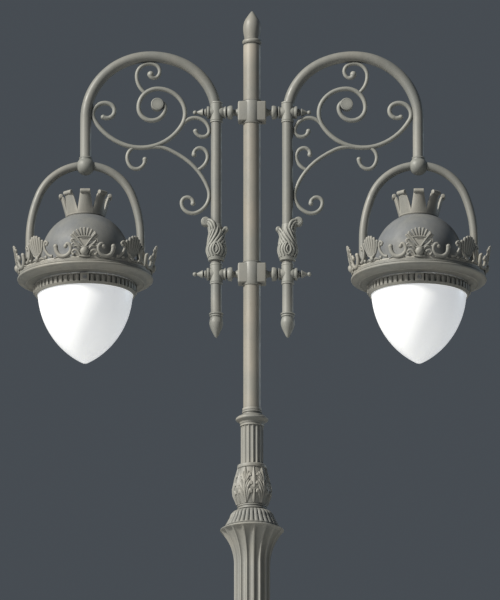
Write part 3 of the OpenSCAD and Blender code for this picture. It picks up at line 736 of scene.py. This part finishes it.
def main_scroll(side, name):
    """The big scroll under the arch, its round eye and three curls."""
    solids = scroll((261, 48), 163, [(29, 110), (58, 171), (84, 97), (123, 54), (105, 65), (206, 58),
                                     (208, 23), (250, 40), (52, 149), (33, 180)], 10, 11, bluff=False)
    solids += scroll((313.5, 91), 40, [(97, 53), (56, 117), (33, 111), (17, 125)], 8.5, 15)
    solids += scroll((142.5, -49), 125, [(59, 54), (63, 86), (26, 71), (32, 102)], 8.5, 11)
    solids += scroll((366.5, -163), -33, [(-49, 54), (-63, 41), (-33, 85), (-44, 59)], 8.5, 11)
    eye = [(0, -15.6), (21, -15.6), (21.6, -15.1), (22.4, -15.1), (23, -15.8), (25, -15.8)]
    eye += arc(24.5, -12.3, 3.5, -75, 0, 5)
    eye = eye + [(r, -z) for r, z in reversed(eye)]
    solids.append(moved(lathe(eye, 64), along_y(ARM_X + 258, UPPER + 36)))
    piece(f"{name}_main_scroll", [mirrored(s, side) for s in solids], ARM_CAST)


def lower_scroll(side, name):
    """The scroll that sweeps from the main one down to the arm tube."""
    solids = scroll((279, -157), 174, [(139, 32), (452, 9), (290, 35), (86, 89), (48, 111), (25, 188)],
                    8.5, 11)
    solids += scroll((77, -258), 154, [(-71, 47), (-47, 52), (-32, 43), (-26, 112)], 8.5, 11)
    piece(f"{name}_lower_scroll", [mirrored(s, side) for s in solids], ARM_CAST)


def volute(x, z, r, half_width, twist, turns=1.1, thread=2.6):
    """Rolled leaf end lying along Y: a smooth round drum with a fine spiral on both faces."""
    drum = [(0, -half_width)] + arc(r - 6, -half_width + 6, 6, -90, 0, 6)
    drum += arc(r - 6, half_width - 6, 6, 0, 90, 6) + [(0, half_width)]
    solids = [moved(lathe(drum, 48), along_y(x, z))]
    count = 36
    for face in (-1, 1):
        path = []
        for i in range(count + 1):
            share = i / count
            turn = math.radians(twist) + 2 * math.pi * turns * share
            reach = (r - 7) * (1 - 0.72 * share)
            path.append((x + reach * math.cos(turn), face * (half_width - thread * 0.55),
                         z + reach * math.sin(turn)))
        solids.append(sweep(path, [thread * (1 - 0.3 * i / count) for i in range(count + 1)], 10))
    return solids


def leaf_sleeve(side, name):
    """Leafed sleeve: strands arch over a drop in front, then sweep up to a big volute and a small one."""
    z0 = low(f"{name}_leaf_sleeve")
    body = [(34.8, 17), (37.2, 26), (40.4, 42), (41.2, 56), (39.4, 72), (35.8, 96), (32.8, 116), (30.2, 138),
            (27, 156), (25, 168)]
    outline = [(33.4, 4), (34.8, 5), (35.4, 8), (35.2, 12.5)] + arc(34.8, 15, 1.9, -60, 80, 4)
    outline += curve(body, 4)[1:]
    solids = [lathe(bored(outline, ARM_R + 0.1), 96)]
    radius_at = profile(body)
    strands = []
    for s in (-1, 1):
        for i in range(1, 7):
            foot, crest = 10 + 17 * i, 82 + 5 * i
            strands.append(bar([(s * (foot - 9), 19), (s * (foot - 1), 40), (s * (foot - 4), 62),
                                (s * max(4, foot - 20), crest)], [4.4, 7.0, 6.8, 3.6], 12, 0.2, 0.75))
        strands.append(bar([(s * 2, 24), (s * 11.5, 35), (s * 14, 50), (s * 10, 66), (s * 1.5, 82)],
                           [3.6, 4.2, 4.4, 4.4, 3.0], 12, 1.6, 0.85))
    strands.append(bar([(3, 34), (-4, 44), (-3, 56), (3, 68)], [2.6, 3.4, 3.4, 2.0], 12, 2.0, 0.9))
    for j in range(-8, 9):
        x = 16.6 * j
        rise = 1 - 0.34 * max(0.0, math.sin((-x + 8) / 40)) ** 0.7
        path = [(x + 30, 0), (x + 20, 20), (x + 6, 44), (x - 5, 68), (x - 10, 90)]
        path = [(px, 72 + pz * rise) for px, pz in path]
        strands.append(bar(path, [4.0, 6.6, 6.2, 4.8, 2.2], 12, 0.4, 0.75))
    solids += [on_profile(strand, radius_at, -90, 40) for strand in strands]
    solids += volute(46.5, 181, 20.5, 17, 215)
    solids += volute(-40.5, 147, 12, 13, -40, 1.0, 2.0)
    big = [[(5, 27, 140), (8, 27, 158), (14, 24, 173), (24, 18, 183), (37, 13, 187)],
           [(15, 24, 134), (18, 23, 154), (25, 19, 169), (36, 14, 178)],
           [(25, 16, 128), (27, 15, 150), (31, 14, 163), (39, 12, 171)],
           [(30, 5, 124), (31, 5, 148), (34, 5, 162), (42, 5, 170)]]
    small = [[(-13, 27, 92), (-17, 26, 114), (-25, 18, 134), (-36, 9, 148)],
             [(-23, 19, 88), (-26, 16, 110), (-32, 10, 128), (-39, 8, 139)],
             [(-31, 4, 90), (-32, 4, 112), (-36, 4, 130), (-41, 4, 138)]]
    for spine in big + small:
        for face in (-1, 1):
            path = curve([(x, face * y, z) for x, y, z in spine], 6)
            thick = 7.0 if spine in big else 5.6
            growth = [math.sin(math.pi * min(0.5, i / len(path))) for i in range(len(path))]
            radii = [thick * (0.55 + 0.45 * g) for g in growth]
            solids.append(sweep(path, radii, 12, (0, 0.7, 0.7)))
    place = Matrix.Translation((ARM_X, 0, z0))
    piece(f"{name}_leaf_sleeve", [mirrored(moved(s, place), side) for s in solids], ARM_CAST, sharp=45)


def arm_finial(side, name):
    """Ring, neck and acorn under the arm tube."""
    outline = [(0, 0)] + curve([(4, 1), (8, 6), (13, 16), (18, 26), (26, 44), (30.6, 62), (30, 74),
                                (27, 86)], 5)
    outline += [(25.6, 88), (25.6, 92)] + arc(25, 96.5, 4.6, -75, 50, 5) + [(27.6, 101)]
    outline += arc(28, 106, 3.8, -80, 80, 7) + [(26, ARM_FINIAL_TALL), (0, ARM_FINIAL_TALL)]
    solid = lathe(outline, 72, at=(side * ARM_X, 0, low(f"{name}_arm_finial")))
    piece(f"{name}_arm_finial", [solid], ARM_CAST, sharp=40)


def yoke(side, name):
    """Bow of bent tube that carries the lamp, from flange to flange."""
    foot = low(f"{name}_yoke")
    spring = foot + 156
    half, r_side, r_top = 242, 544, 219
    rise = math.sqrt((r_side - r_top) ** 2 - (r_side - half) ** 2)
    turn = math.degrees(math.atan2(rise, r_side - half))
    path = [(half, 0, foot), (half, 0, foot + 80)]
    path += turtle(half, spring, 90, [(r_side, turn), (r_top, 180 - 2 * turn), (r_side, turn)], 3)
    path += [(-half, 0, foot + 80), (-half, 0, foot)]
    bow = at_lamp(side, sweep(path, 18.5, 32))
    piece(f"{name}_yoke", [bow], ARM_TUBE)


def ball_joint(side, name):
    """Ball where the arm's end meets the yoke, with a stepped collar."""
    centre = low(f"{name}_ball_joint") + 40
    outline = [(0, -40)] + arc(0, 0, 40, -84, 42, 24)
    outline += [(28.4, 28), (28.4, 30)] + arc(26.5, 36, 2.6, -70, 80, 5) + [(ARM_R + 1, 41)]
    outline += [(ARM_R - 1, 42), (0, 42)]
    solid = lathe(outline, 80, at=(side * LAMP_X, 0, centre))
    piece(f"{name}_ball_joint", [solid], ARM_CAST, sharp=40)


# ---- lamp ----

def vent_crown(side, name):
    """Eight splayed fingers with rolled tips: one closed band at the foot, V notches above it."""
    z0 = high(f"{name}_dome") - 18.5
    band, closed, tip_half = 0.16, math.pi / 8, 0.215
    foot_r, lean, roll_z = 80, 0.272, 97
    foot_band = [(70, -5), (78, -5), (82, 0), (84, 5), (84.5, 12), (80, 13), (70, 2)]
    solids = [lathe(foot_band, 96, at=(0, 0, z0))]

    def finger(turn):
        def surface(offset):
            def place(u, v):
                height = 4 + 89 * v
                notch = max(0.0, v - band) / (1 - band)
                angle = (2 * u - 1) * (closed + (tip_half - closed) * notch)
                r = foot_r + lean * height + offset - 100 * angle * angle * notch
                return (math.cos(turn + angle) * r, math.sin(turn + angle) * r, z0 + height)
            return place
        sheet = slab(8, 12, surface(4), surface(-4))
        centre_r = foot_r + lean * roll_z
        roll = []
        for x in (-22.5, -22, -20.5, -11, 0, 11, 20.5, 22, 22.5):
            roll.append((centre_r * math.cos(turn) - x * math.sin(turn),
                         centre_r * math.sin(turn) + x * math.cos(turn), z0 + roll_z))
        cap = sweep(roll, [6, 8.2, 9.6, 10, 10, 10, 9.6, 8.2, 6], 20, (0, 0, 1))
        return [sheet, cap]

    for i in range(8):
        solids += finger(math.radians(45 * i))
    piece(f"{name}_vent_crown", [at_lamp(side, s) for s in solids], LAMP_CAST, sharp=38)


def dome(side, name):
    """Hollow half ball over a short upright band."""
    r, wall, rise = 192.5, 4, 80.6
    outline = [(r, 0), (r, 40)] + arc(0, rise, r, 0, 88, 36) + [(0, rise + r)]
    inner = [(0, rise + r - wall)] + arc(0, rise, r - wall, 88, 0, 24) + [(r - wall, 0)]
    solid = lathe(outline + inner, 144, at=(side * LAMP_X, 0, low(f"{name}_dome")))
    piece(f"{name}_dome", [solid], DOME)


def knuckle(start, end):
    """Barrel of the globe ring's hinge between two places along X, measured from the lamp's axis."""
    outline = [(4.1, start)] + arc(6, start + 1, 1, -90, 0, 3) + arc(6, end - 1, 1, 0, 90, 3) + [(4.1, end)]
    lay = Matrix.Translation((0, HINGE_Y, HINGE_Z)) @ Matrix.Rotation(math.radians(90), 4, "Y")
    return moved(lathe(outline, 32), lay)


def flange(side, name):
    """Moulded rim: two fine steps, a rolled edge, and two coves below with a fine ridge between them."""
    outline = [(192, 41), (192, 47), (284, 47)] + arc(284, 45, 2, 90, 0, 4) + [(286, 40.8), (285, 39.6)]
    outline += [(288, 39.2)] + arc(288, 37, 2.2, 90, 0, 4) + [(290.2, 33.8), (289.2, 32.4)]
    outline += arc(289.2, 25, 6.5, 84, -84, 12) + curve([(288.6, 17.6), (281, 16.6), (272, 13.4), (265, 8.6),
                                                          (261.4, 4.6)], 4)
    outline += arc(257.6, 4.6, 2.6, -20, -160, 5) + curve([(253.8, 5), (246, 8.6), (236, 7.6), (226, 3.6),
                                                            (217, 0.2)], 4)
    outline += [(194, 0), (194, 7), (240, 13), (268, 22), (268, 34), (256, 41)]
    solids = [lathe(outline, 160, at=(0, 0, FLANGE_LOW))]
    for x in (-20, 12):
        solids.append(knuckle(x, x + 8))
        solids.append(block((8, 12, 12), (x + 4, HINGE_Y, HINGE_Z + 12.5), 1, 2))
    catch_z = RING_TOP - 19
    solids.append(block((3, 12, 34), (-19.5, -205, catch_z + 9), 0.8, 2))
    solids.append(block((12, 12, 4), (-14, -205, catch_z - 7), 0.8, 2))
    piece(f"{name}_flange", [at_lamp(side, s) for s in solids], LAMP_CAST, sharp=36)


def globe_ring(side, name):
    """Hinged ring with four runs of twelve tongues between plain blocks, over a smooth lip.

    The hinge takes the place of the fourth block, at the back.
    """
    tongues = 12
    plain_half = 20 / 222

    def warp(r, z, turn):
        if r < 218 or not 10 < z < 44:
            return r, z
        quarter = (turn + math.pi / 4) % (math.pi / 2) - math.pi / 4
        run = (abs(quarter) - plain_half) / (math.pi / 4 - plain_half)
        if run <= 0:
            return r, z
        share = (run * tongues / 2) % 1.0
        across = abs(2 * share - 1)
        ends = min(1.0, (z - 10) / 3) if z < 40 else 0
        groove = 6.4 * max(0.0, min(1.0, (across - 0.60) / 0.12))
        tongue = 2.4 * max(0.0, 1 - (across / 0.7) ** 2)
        return r - 2.2 - groove * ends + tongue * ends, z

    outline = [(209, 0), (212, 0), (214.5, 1.2), (216.5, 4), (218, 7), (221, 9.5)]
    outline += [(222, 11 + 2.9 * i) for i in range(11)] + [(222, 41.2), (221.6, 43.6), (220.6, 45)]
    outline += [(215, 45), (215, 5), (209, 5)]
    solids = [lathe(outline, 4 * tongues * 20, warp, -math.pi / 2, (0, 0, RING_LOW))]
    for turn in (0, 90, 270):
        face = block((38, 7, 33), (0, -221.2, RING_LOW + 27.6), 1.6, 2)
        solids.append(moved(face, Matrix.Rotation(math.radians(turn), 4, "Z")))
    solids.append(knuckle(-11.5, 11.5))
    solids.append(block((22, 14, 9), (0, 225, HINGE_Z - 2.5), 1, 2))
    piece(f"{name}_globe_ring", [at_lamp(side, s) for s in solids], LAMP_CAST,
          body=f"{name}_globe_frame", sharp=38)


def globe(side, name):
    """Opal bowl: a long side arc into a small round tip, with a rim flange that sits in the ring."""
    widest = FLANGE_Z - 70
    side_r, tip_r, r0 = 371, 30.6, 207
    cx = r0 - side_r
    tip_z = widest - math.sqrt((side_r - tip_r) ** 2 - cx ** 2)
    turn = math.degrees(math.atan2(tip_z - widest, -cx))
    rim = RING_LOW + 5

    def wall(inset, steps):
        down = [(r, z) for r, z in arc(cx, widest, side_r - inset, 0, turn, steps) if z < rim + 4]
        return down + arc(0, tip_z, tip_r - inset, turn, -88, 10)[1:] + [(0, tip_z - tip_r + inset)]

    outer, inner = wall(0, 64), wall(4, 48)
    outline = list(reversed(outer)) + [(214, rim), (214.5, rim + 1), (214.5, rim + 3), (214, rim + 4)] + inner
    piece(f"{name}_globe", [at_lamp(side, lathe(outline, 160))], OPAL, body=f"{name}_globe_frame")


# ---- crown ornament: modelled flat, x along the rim, -y outward and z up, then wrapped on ----

def wrapped(solid, turn):
    """Lays a flat drawing on the leaning cone that stands on the flange's rim."""
    points, faces = solid
    made = []
    rim_r, lean = 284, 27.5 / 131
    for x, y, z in points:
        r = rim_r + lean * z
        at = math.radians(turn) + x / r
        made.append(Vector(((r - y) * math.cos(at), (r - y) * math.sin(at), FLANGE_Z + z)))
    return made, faces


def cartouche():
    """Nine-rayed fan over a framed triangular shield that grows from a calyx with side leaves."""
    fan_z, fan_r = 52, 77
    solids = []
    fan = [(0, fan_z + 20)] + [(x, z) for x, z in arc(0, fan_z, 52, 34, 146, 20)]
    solids.append(plate(fan, 0.5, -3.0))
    for i in range(9):
        turn = math.radians(90 + 13.2 * (i - 4))
        c, s = math.cos(turn), math.sin(turn)
        near, far = 32, fan_r - 6
        spots = [(near + (far - near) * k, r) for k, r in ((0, 3.4), (0.35, 4.8), (0.75, 6.0), (1, 5.8))]
        solids.append(bar([(p * c, fan_z + p * s) for p, _ in spots], [r for _, r in spots], 12, 1.5, 0.8))
        solids.append(knob(far * c, fan_z + far * s, 5.8, 1.5))
    solids.append(plate([(0, 44), (33, 87), (-33, 87)], 5.0, -3.0))
    solids.append(bar([(-33, 87), (0, 88.5), (33, 87)], 3.2, 10, 5.0))
    solids.append(bar([(-13, 80), (0, 80.5), (13, 80)], 1.8, 8, 5.0))
    for s in (-1, 1):
        solids.append(bar([(s * 47, 101), (s * 34, 86), (s * 18, 64), (s * 3, 43)], [5.2, 4.2, 3.8, 3.6],
                          12, 5.0))
        solids.append(knob(s * 47, 101, 6.0, 4.0))
        solids.append(petal((s * 12, 44), (s * 36, 56), (s * 56, 82), 11, 5.5))
        for hook in ([(30, 70), (44, 80), (57, 76), (55, 66)], [(24, 56), (42, 62), (56, 56), (52, 46)]):
            solids.append(bar([(s * x, z) for x, z in hook], [3.0, 4.0, 4.4, 4.5], 10, 2.0))
        solids.append(bar([(s * 20, 12), (s * 30, 27), (s * 43, 32), (s * 54, 24), (s * 50, 13)],
                          [3.6, 5.0, 5.6, 5.4, 5.0], 12, 2.5))
        solids.append(knob(s * 48, 14, 6.4, 3.0))
        solids.append(petal((s * 16, 34), (s * 32, 48), (s * 50, 44), 8, 6, 2.0))
    solids.append(knob(0, 26, 19, 2.5))
    solids.append(bar([(-16, 42), (0, 44), (16, 42)], [3.2, 5.4, 3.2], 12, 5.0))
    solids.append(bar([(-24, 7), (0, 5), (24, 7)], [3.6, 6.0, 3.6], 12, 4.0))
    solids.append(plate([(-58, 0), (58, 0), (54, 10), (26, 32), (-26, 32), (-54, 10)], 0.5, -3.5))
    return solids


def shell():
    """Tall scallop: seven ribs that rise from a narrow foot and spread to rounded tips."""
    solids = []
    for i in range(-3, 4):
        top = 115 - 2.6 * i * i
        line = [(1.5 * i, 14), (8.6 * i, 44), (12.6 * i, 78), (12.9 * i, top - 7)]
        solids.append(bar(line, [3.0, 5.0, 6.8, 7.2], 14, 2.0 - 0.25 * i * i, 0.9))
        solids.append(knob(12.9 * i, top - 7, 7.4, 2.0 - 0.25 * i * i))
    rim = [(4, 12), (30, 46), (41, 78), (36, 88), (20, 102), (0, 108)]
    solids.append(plate(rim + [(-x, z) for x, z in reversed(rim[:-1])], 0.5, -3.5))
    solids.append(ball((0, -4, 14), 10, 0.85, 24))
    solids.append(bar([(-17, 30), (-8, 24), (0, 22), (8, 24), (17, 30)], [3, 4.2, 5, 4.2, 3], 12, 5.0))
    for s in (-1, 1):
        solids.append(knob(s * 18, 32, 4.6, 4.5))
        solids.append(petal((s * 4, 2), (s * 20, 12), (s * 42, 4), 7, 5))
    solids.append(plate([(-42, 0), (42, 0), (30, 9), (9, 22), (-9, 22), (-30, 9)], 0.5, -3.5))
    return solids


def c_scroll(s):
    """Upward-open C between a cartouche and a shell, with curled and drop-shaped ends."""
    line = [(-83, 51), (-78, 60), (-68, 58), (-60, 44), (-62, 26), (-76, 12), (-96, 8), (-114, 16),
            (-125, 32), (-129, 50)]
    radii = [6.4, 7.0, 7.8, 8.3, 8.6, 8.8, 9.0, 9.2, 9.4, 9.6]
    solids = [bar([(-s * x, z) for x, z in line], radii, 16, 1.0, 0.9)]
    solids.append(knob(s * 83, 50, 9.2, 1.5))
    solids.append(knob(s * 129, 53, 10.8, 1.5))
    solids.append(petal((s * 62, 2), (s * 78, 7), (s * 96, 2), 5, 4, 0.5))
    solids.append(petal((s * 96, 2), (s * 116, 8), (s * 138, 2), 6, 4, 0.5))
    return solids


def s_curl(s):
    """Strap beside a shell: a curl level with the shell's shoulder that runs down into a small volute."""
    line = [(60, 66), (66, 74), (56, 80), (48, 68), (47, 50), (54, 32), (66, 18), (80, 14)]
    solids = [bar([(s * x, z) for x, z in line], [5.0, 5.6, 6.0, 6.2, 6.2, 6.4, 6.6, 6.6], 14, 1.0, 0.9)]
    solids.append(knob(s * 59, 66, 6.6, 1.5))
    solids.append(knob(s * 48, 14, 7.2, 1.5))
    return solids


def crown_ornament(side, name):
    """Four cartouches at the quarters and four shells between them, joined by scrolls, on a foot ring."""
    solids = []
    for turn in (-90, 0, 90, 180):
        for s in cartouche() + c_scroll(-1) + c_scroll(1):
            solids.append(wrapped(s, turn))
        for s in shell() + s_curl(-1) + s_curl(1):
            solids.append(wrapped(s, turn + 45))
    foot_ring = [(279, 0), (286, 0), (286.4, 4), (285, 7), (279.5, 7)]
    solids.append(lathe(foot_ring, 160, at=(0, 0, FLANGE_Z)))
    piece(f"{name}_crown_ornament", [at_lamp(side, s) for s in solids], LAMP_CAST, sharp=42)


for side_sign, side_name in ((-1, "left"), (1, "right")):
    for make in (arm_tube, main_scroll, lower_scroll, leaf_sleeve, arm_finial, yoke, ball_joint,
                 vent_crown, dome, flange, globe_ring, globe, crown_ornament):
        make(side_sign, side_name)


# ---- stage ----

def sun(name, strength, colour, turn, rise, spread):
    """Sun from `turn` degrees round from the front and `rise` above the horizon, `spread` degrees wide."""
    data = bpy.data.lights.new(name, "SUN")
    data.energy = strength
    data.color = colour
    data.angle = math.radians(spread)
    lamp = bpy.data.objects.new(name, data)
    a, e = math.radians(turn), math.radians(rise)
    towards = Vector((math.sin(a) * math.cos(e), -math.cos(a) * math.cos(e), math.sin(e)))
    lamp.rotation_euler = towards.to_track_quat("Z", "Y").to_euler()
    bpy.context.scene.collection.objects.link(lamp)


def stage():
    """Even light from the sky, three suns and a pale floor."""
    scene = bpy.context.scene
    world = bpy.data.worlds.new("studio")
    world.use_nodes = True
    background = world.node_tree.nodes["Background"]
    background.inputs["Color"].default_value = (0.74, 0.86, 1.0, 1)
    background.inputs["Strength"].default_value = 0.085
    scene.world = world
    scene.view_settings.view_transform = "Standard"
    sun("key", 4.3, (1.0, 0.96, 0.88), -57, 33, 9)
    sun("low", 0.6, (1.0, 0.96, 0.90), -44, -3, 16)
    sun("rim", 0.25, (0.70, 0.86, 1.0), 125, 14, 10)

    floor = bpy.data.meshes.new("floor")
    bm = bmesh.new()
    bmesh.ops.create_circle(bm, cap_ends=True, segments=96, radius=5.2)
    bm.to_mesh(floor)
    bm.free()
    ground = bpy.data.objects.new("floor", floor)
    ground.location.z = -0.001
    scene.collection.objects.link(ground)
    floor.materials.append(plain("pale_floor", (0.62, 0.62, 0.60), 0.8, grain=0.05, scale=40, spread=0.05))


def camera():
    """Long lens from low in front: the photograph's view looks up past the upper part of the post."""
    scene = bpy.context.scene
    data = bpy.data.cameras.new("camera")
    data.lens = 800
    data.clip_end = 1000
    made = bpy.data.objects.new("camera", data)
    rise, distance = math.radians(-15.5), 58
    target = Vector((-0.009, 0, (UPPER - 849) * MM))
    made.location = target + distance * Vector((0, -math.cos(rise), math.sin(rise)))
    made.rotation_euler = (target - made.location).to_track_quat("-Z", "Y").to_euler()
    scene.collection.objects.link(made)
    scene.camera = made


stage()
camera()
